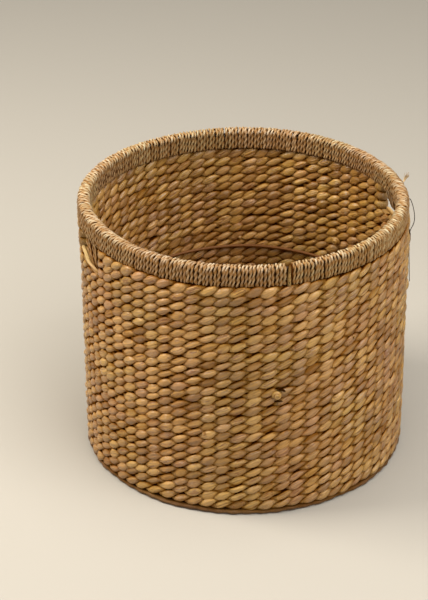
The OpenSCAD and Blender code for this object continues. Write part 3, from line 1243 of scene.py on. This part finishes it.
def fibre_group() -> bpy.types.NodeTree:
    """Builds the grain of dried plant fibre: streaks, wrinkles and splits that follow a strand.

    Returns:
        The node group, with the grain's streaks, its height and a mask of its splits.
    """
    tree = bpy.data.node_groups.new("Plant fibre", "ShaderNodeTree")
    face = tree.interface
    face.new_socket("Grain", in_out="INPUT", socket_type="NodeSocketVector")
    for name, value in (("Length scale", 70.0), ("Width scale", 520.0), ("Fine scale", 1500.0)):
        face.new_socket(name, in_out="INPUT", socket_type="NodeSocketFloat").default_value = value
    face.new_socket("Streak", in_out="OUTPUT", socket_type="NodeSocketFloat")
    face.new_socket("Height", in_out="OUTPUT", socket_type="NodeSocketFloat")
    face.new_socket("Split", in_out="OUTPUT", socket_type="NodeSocketFloat")
    start = tree.nodes.new("NodeGroupInput")
    end = tree.nodes.new("NodeGroupOutput")
    layers = []
    for width, detail in (("Width scale", 3.0), ("Fine scale", 2.0)):
        scale = tree.nodes.new("ShaderNodeCombineXYZ")
        tree.links.new(start.outputs["Length scale"], scale.inputs[0])
        tree.links.new(start.outputs[width], scale.inputs[1])
        tree.links.new(start.outputs[width], scale.inputs[2])
        stretch = tree.nodes.new("ShaderNodeVectorMath")
        stretch.operation = "MULTIPLY"
        tree.links.new(start.outputs["Grain"], stretch.inputs[0])
        tree.links.new(scale.outputs[0], stretch.inputs[1])
        noise = add_node(tree, "ShaderNodeTexNoise", Scale=1.0, Detail=detail, Roughness=0.55)
        tree.links.new(stretch.outputs[0], noise.inputs["Vector"])
        layers.append(noise.outputs["Fac"])
    tree.links.new(layers[0], end.inputs["Streak"])
    masks = []
    for scales in ((26.0, 330.0, 330.0), (34.0, 90.0, 90.0)):
        stretch = tree.nodes.new("ShaderNodeVectorMath")
        stretch.operation = "MULTIPLY"
        stretch.inputs[1].default_value = scales
        tree.links.new(start.outputs["Grain"], stretch.inputs[0])
        noise = add_node(tree, "ShaderNodeTexNoise", Scale=1.0, Detail=1.0, Roughness=0.5)
        tree.links.new(stretch.outputs[0], noise.inputs["Vector"])
        masks.append(noise.outputs["Fac"])
    crack = add_math(tree, "ABSOLUTE", add_math(tree, "SUBTRACT", masks[0], 0.5), 0.0)
    thin = add_fade(tree, crack, (0.008, 0.05))
    some = add_fade(tree, masks[1], (0.46, 0.56), 0.0, 1.0)
    split = add_math(tree, "MULTIPLY", thin, some)
    tree.links.new(split, end.inputs["Split"])
    fine = add_math(tree, "MULTIPLY", layers[1], 0.35)
    grain = add_math(tree, "ADD", layers[0], fine)
    deep = add_math(tree, "MULTIPLY", split, 0.3)
    tree.links.new(add_math(tree, "SUBTRACT", grain, deep), end.inputs["Height"])
    return tree


@dataclass(frozen=True)
class StrandFinish:
    """Dried plant strand: tones from stitch to stitch, streaks, splits, painted shade in crevices and on the
    edges of stitches, and a soft sheen.
    """

    name: str
    tones: tuple[str, ...]
    # The edge colour serves both the fibre's splits and the painted shade on the edges of stitches; the
    # crevice colour is painted shade deep in crevices; both shade masks follow the second channel of the tone
    # attribute
    edge: str
    crevice_shade: str
    crevice_shade_at: tuple[float, float]
    shaded_edge_at: tuple[float, float]
    streak: float
    bump: float
    roughness: float
    length_scale: float = 70.0
    width_scale: float = 520.0
    gloss: float = 0.35
    torn: float = 0.0

    def build(self, fibre: bpy.types.NodeTree) -> bpy.types.Material:
        """Builds the material.

        Args:
            fibre: Node group with the fibre's grain.

        Returns:
            The material.
        """
        material = bpy.data.materials.new(self.name)
        material.use_nodes = True
        tree = material.node_tree
        shader = tree.nodes["Principled BSDF"]
        tone = tree.nodes.new("ShaderNodeAttribute")
        tone.attribute_name = "tone"
        parts = tree.nodes.new("ShaderNodeSeparateColor")
        tree.links.new(tone.outputs["Color"], parts.inputs[0])
        grain = tree.nodes.new("ShaderNodeAttribute")
        grain.attribute_name = "grain"
        group = tree.nodes.new("ShaderNodeGroup")
        group.node_tree = fibre
        tree.links.new(grain.outputs["Vector"], group.inputs["Grain"])
        group.inputs["Length scale"].default_value = self.length_scale
        group.inputs["Width scale"].default_value = self.width_scale

        ramp = tree.nodes.new("ShaderNodeValToRGB")
        stops = ramp.color_ramp.elements
        while len(stops) < len(self.tones):
            stops.new(0.5)
        for index, code in enumerate(self.tones):
            stops[index].position = index / (len(self.tones) - 1)
            stops[index].color = hex_colour(code)
        tree.links.new(parts.outputs[0], ramp.inputs[0])

        streak = tree.nodes.new("ShaderNodeMapRange")
        streak.inputs["From Min"].default_value = 0.3
        streak.inputs["From Max"].default_value = 0.7
        streak.inputs["To Min"].default_value = 1.0 - self.streak
        streak.inputs["To Max"].default_value = 1.0 + self.streak
        tree.links.new(group.outputs["Streak"], streak.inputs["Value"])
        grey = tree.nodes.new("ShaderNodeCombineColor")
        for index in range(3):
            tree.links.new(streak.outputs[0], grey.inputs[index])
        colour = add_mix(tree, "MULTIPLY", 1.0, ramp.outputs[0], grey.outputs[0])
        spot = tree.nodes.new("ShaderNodeTexCoord")
        patch = add_node(tree, "ShaderNodeTexNoise", Scale=11.0, Detail=2.0, Roughness=0.5)
        tree.links.new(spot.outputs["Object"], patch.inputs["Vector"])
        share = add_fade(tree, patch.outputs["Fac"], (0.36, 0.64), 0.0, 1.0)
        tint = add_mix(tree, "MIX", share, hex_colour("#fcfde4"), hex_colour("#fff6e8"))
        colour = add_mix(tree, "MULTIPLY", 1.0, colour, tint)
        torn = add_math(tree, "MULTIPLY", group.outputs["Split"], self.torn)
        colour = add_mix(tree, "MIX", torn, colour, hex_colour(self.edge))

        # Painted shade: the edges of stitches and then the crevices between them take darker colours from the
        # shade channel of the tone attribute
        edge = add_fade(tree, parts.outputs[1], self.shaded_edge_at)
        colour = add_mix(tree, "MIX", edge, colour, hex_colour(self.edge))
        crevice_shade = add_fade(tree, parts.outputs[1], self.crevice_shade_at)
        colour = add_mix(tree, "MIX", crevice_shade, colour, hex_colour(self.crevice_shade))
        tree.links.new(colour, shader.inputs["Base Color"])
        shader.inputs["Roughness"].default_value = self.roughness
        raised = add_fade(tree, parts.outputs[1], (0.62, 0.98), 0.0, self.gloss)
        tree.links.new(raised, shader.inputs["Specular IOR Level"])

        bump = add_node(tree, "ShaderNodeBump", Strength=self.bump, Distance=0.0012)
        tree.links.new(group.outputs["Height"], bump.inputs["Height"])
        tree.links.new(bump.outputs[0], shader.inputs["Normal"])
        return material


@dataclass(frozen=True)
class PlainFinish:
    """Painted wire, coiled core or thread: a worn colour broken by fine specks; on the core the dark colour
    is painted shade.
    """

    name: str
    colour: str
    lighter: str
    scale: float
    roughness: float
    bump: float = 0.15

    def build(self) -> bpy.types.Material:
        """Builds the material.

        Returns:
            The material.
        """
        material = bpy.data.materials.new(self.name)
        material.use_nodes = True
        tree = material.node_tree
        shader = tree.nodes["Principled BSDF"]
        place_at = tree.nodes.new("ShaderNodeTexCoord")
        noise = add_node(tree, "ShaderNodeTexNoise", Scale=self.scale, Detail=4.0, Roughness=0.6)
        tree.links.new(place_at.outputs["Object"], noise.inputs["Vector"])
        colour = add_mix(tree, "MIX", noise.outputs["Fac"], hex_colour(self.colour), hex_colour(self.lighter))
        tree.links.new(colour, shader.inputs["Base Color"])
        shader.inputs["Roughness"].default_value = self.roughness
        shader.inputs["Specular IOR Level"].default_value = 0.2
        bump = add_node(tree, "ShaderNodeBump", Strength=self.bump, Distance=0.0003)
        tree.links.new(noise.outputs["Fac"], bump.inputs["Height"])
        tree.links.new(bump.outputs[0], shader.inputs["Normal"])
        return material


# The edge and crevice colours of each strand finish below are painted shade; the edge colour also colours
# splits
HYACINTH = StrandFinish(
    name="water_hyacinth",
    tones=("#855e29", "#956c34", "#a0773b", "#a98041", "#b38b4f", "#997141", "#a57b4c"),
    edge="#744008",
    crevice_shade="#331400",
    crevice_shade_at=(0.35, 0.65),
    shaded_edge_at=(0.44, 0.88),
    streak=0.3,
    bump=1.0,
    roughness=0.38,
    gloss=1.0,
    torn=0.75,
)
# Finish of painted shade: deep browns that stand in for the shadow along the basket's foot and in gaps of the
# weave
SHADE_STRAND = StrandFinish(
    name="painted_shade_strand",
    tones=("#5b3c1c", "#6c4a24", "#7a5529"),
    edge="#4c2f12",
    crevice_shade="#2a1200",
    crevice_shade_at=(0.2, 0.45),
    shaded_edge_at=(0.4, 0.8),
    streak=0.3,
    bump=0.8,
    roughness=0.5,
)
SEAGRASS = StrandFinish(
    name="seagrass_cord",
    tones=("#8b6b49", "#9a7d5b", "#a88e6d", "#947758", "#b09b82", "#bbab96"),
    edge="#8a6132",
    crevice_shade="#4a2406",
    crevice_shade_at=(0.42, 0.74),
    shaded_edge_at=(0.66, 0.94),
    streak=0.25,
    bump=0.7,
    roughness=0.55,
    length_scale=90.0,
    width_scale=900.0,
)
SILL = StrandFinish(
    name="pale_sill_strand",
    tones=("#8d6a3c", "#bb9c70", "#cdb08a"),
    edge="#8a6638",
    crevice_shade="#4a2f14",
    crevice_shade_at=(0.2, 0.45),
    shaded_edge_at=(0.5, 0.9),
    streak=0.2,
    bump=0.6,
    roughness=0.42,
)
CORD_END = StrandFinish(
    name="cord_end",
    tones=("#86683a", "#97784a", "#a58a55"),
    edge="#5b3c18",
    crevice_shade="#2a1402",
    crevice_shade_at=(0.3, 0.6),
    shaded_edge_at=(0.6, 0.95),
    streak=0.85,
    bump=1.0,
    roughness=0.6,
    length_scale=420.0,
    width_scale=700.0,
)
FRAYED = StrandFinish(
    name="frayed_fibre",
    tones=("#a98f6c", "#c6b08d", "#dccbb0"),
    edge="#8a7050",
    crevice_shade="#5c452e",
    crevice_shade_at=(0.1, 0.3),
    shaded_edge_at=(0.3, 0.6),
    streak=0.15,
    bump=0.3,
    roughness=0.6,
)
WIRE = PlainFinish("brown_wire", "#3a2415", "#55402c", 420.0, 0.45)
HOOP = PlainFinish("brown_hoop", "#553010", "#7c4e1f", 300.0, 0.5)
# The core is coloured near black-brown: painted shade where it shows in the gap of the winding
CORE = PlainFinish("rim_core_shaded_reed", "#3f230a", "#5a3612", 260.0, 0.7)
THREAD = PlainFinish("dark_thread", "#120b06", "#2a1c10", 900.0, 0.7)


# Loose thread


@dataclass
class LooseThread:
    """Thread that hangs from the winding beside the hand hole."""

    finish: bpy.types.Material
    diameter: float = 1.0 * MM
    bays_in_front: float = 2.5
    stakes: int = 70
    route: tuple[tuple[float, float, float], ...] = (
        (0.4, 0, -9), (2, 0, -10.5), (3.8, 0, -15), (5.7, 0.5, -21), (7.2, 1, -28), (8.1, 1, -35),
        (7.9, 1, -41.5), (6.4, 0.5, -47), (4.3, 0, -51), (3, 0, -56), (2.7, 0, -62), (2.7, -0.5, -70),
        (2.8, -0.5, -80), (3.2, -0.5, -91), (3.8, -0.5, -103), (4.4, 0, -115), (5.1, 0, -128),
    )

    def points(self) -> list[Vector]:
        """Works out the route's points in metres."""
        _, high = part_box("rim_lashing")
        turn = Matrix.Rotation(-self.bays_in_front * TURN / self.stakes, 3, "Z")
        line = smooth_line(np.array(self.route), 5 * len(self.route))
        return [turn @ Vector((high.x + out * MM, side * MM, high.z + down * MM)) for out, side, down in line]

    def build(self) -> None:
        """Builds the thread as one curve."""
        points = self.points()
        curve = bpy.data.curves.new("loose_thread", "CURVE")
        curve.dimensions = "3D"
        curve.bevel_depth = self.diameter / 2
        curve.bevel_resolution = 3
        curve.use_fill_caps = True
        spline = curve.splines.new("POLY")
        spline.points.add(len(points) - 1)
        for point, place_at in zip(spline.points, points):
            point.co = (*place_at, 1.0)
        thread = new_object("loose_thread", curve, self.finish)
        place(thread, ("lashing_tail",))


# Stage


@dataclass(frozen=True)
class Studio:
    """Camera, pale floor and soft lamps."""

    azimuth: float = math.radians(-13.54)
    elevation: float = math.radians(28.42)
    distance: float = 2.610
    aim: float = 0.195
    yaw: float = -0.0151
    roll: float = 0.002
    lens: float = 119.6

    def set_camera(self) -> None:
        """Stands the camera in front of the basket, a little above it."""
        right = Vector((math.cos(self.azimuth), math.sin(self.azimuth), 0.0))
        level = Vector((-math.sin(self.azimuth), math.cos(self.azimuth), 0.0))
        down = math.sin(self.elevation)
        ahead = level * math.cos(self.elevation) - Vector((0.0, 0.0, down))
        above = right.cross(ahead)
        turned = ahead * math.cos(self.yaw) + right * math.sin(self.yaw)
        beside = right * math.cos(self.yaw) - ahead * math.sin(self.yaw)
        x_axis = beside * math.cos(self.roll) + above * math.sin(self.roll)
        y_axis = above * math.cos(self.roll) - beside * math.sin(self.roll)
        stand = Vector((0.0, 0.0, self.aim)) - ahead * self.distance
        data = bpy.data.cameras.new("camera")
        data.lens = self.lens
        data.sensor_width = 36.0
        data.sensor_fit = "AUTO"
        camera = bpy.data.objects.new("camera", data)
        axes = Matrix((x_axis, y_axis, -turned)).transposed().to_4x4()
        camera.matrix_world = Matrix.Translation(stand) @ axes
        bpy.context.scene.collection.objects.link(camera)
        bpy.context.scene.camera = camera

    def add_lamp(self, name: str, azimuth: float, elevation: float, size: float, power: float,
                 colour: tuple[float, float, float]) -> None:
        """Adds one square area lamp that looks at the basket.

        Args:
            name: Name of the lamp.
            azimuth: Degrees round from the front, rising to the right.
            elevation: Degrees above the floor.
            size: Length of its side in metres.
            power: Power in watts.
            colour: Colour of its light.
        """
        data = bpy.data.lights.new(name, "AREA")
        data.shape = "SQUARE"
        data.size = size
        data.energy = power
        data.color = colour
        lamp = bpy.data.objects.new(name, data)
        turn, rise = math.radians(azimuth), math.radians(elevation)
        way = Vector((math.sin(turn) * math.cos(rise), -math.cos(turn) * math.cos(rise), math.sin(rise)))
        lamp.location = way * 2.4 + Vector((0.0, 0.0, 0.18))
        lamp.rotation_euler = way.to_track_quat("Z", "Y").to_euler()
        bpy.context.scene.collection.objects.link(lamp)

    def build(self) -> None:
        """Sets the camera, floor, lamps and world."""
        self.set_camera()
        bm = bmesh.new()
        bmesh.ops.create_grid(bm, x_segments=1, y_segments=1, size=8.0)
        mesh = bpy.data.meshes.new("floor")
        bm.to_mesh(mesh)
        bm.free()
        material = bpy.data.materials.new("pale_floor")
        material.use_nodes = True
        shader = material.node_tree.nodes["Principled BSDF"]
        shader.inputs["Base Color"].default_value = hex_colour("#a59f94")
        shader.inputs["Roughness"].default_value = 0.9
        floor = new_object("floor", mesh, material)
        self.add_lamp("key", -104.0, 44.0, 1.1, 67.0, (1.0, 0.95, 0.87))
        self.add_lamp("fill", 28.0, 46.0, 1.8, 42.0, (1.0, 0.98, 0.97))
        self.add_lamp("top", 20.0, 80.0, 1.6, 44.0, (1.0, 0.98, 0.95))
        world = bpy.data.worlds.new("room")
        world.use_nodes = True
        sky = world.node_tree.nodes["Background"]
        sky.inputs["Color"].default_value = hex_colour("#e9e6e0")
        sky.inputs["Strength"].default_value = 0.5
        bpy.context.scene.world = world
        bpy.context.scene.view_settings.view_transform = "Standard"


def dress_wires(wire: bpy.types.Material, core: bpy.types.Material) -> None:
    """Gives the wires and the core that stay as they are their own finishes.

    Args:
        wire: Finish of the wires.
        core: Finish of the rim's core, dark as painted shade.
    """
    for names, material in (
        (("stakes", "base_spokes", "hub_ring", "bottom_hoop", "top_hoop"), wire),
        (("rim_core",), core),
    ):
        for name in names:
            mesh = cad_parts[name].data
            mesh.materials.clear()
            mesh.materials.append(material)


def main() -> None:
    """Builds the stage and every part of the basket in order."""
    logging.basicConfig(level=logging.INFO, format="%(message)s")
    Studio().build()
    LooseThread(THREAD.build()).build()
    fibre = fibre_group()
    hyacinth = HYACINTH.build(fibre)
    rng = np.random.default_rng(SEED)
    seagrass, pale = SEAGRASS.build(fibre), SILL.build(fibre)
    # The darkest strand finish is painted shade, used for the foot band and the dark scraps
    frayed, hoop, dark = FRAYED.build(fibre), HOOP.build(), SHADE_STRAND.build(fibre)
    Wall(rng, hyacinth, dark).build()
    BaseMat(rng, hyacinth).build()
    RimLashing(rng, seagrass, CORD_END.build(fibre)).build()
    for side in ("left", "right"):
        HandHole(side, rng, pale, seagrass).build()
    LooseEnds(rng, hyacinth, frayed, dark).build()
    Spreader(hoop).build()
    dress_wires(WIRE.build(), CORE.build())


if __name__ == "__main__":
    main()
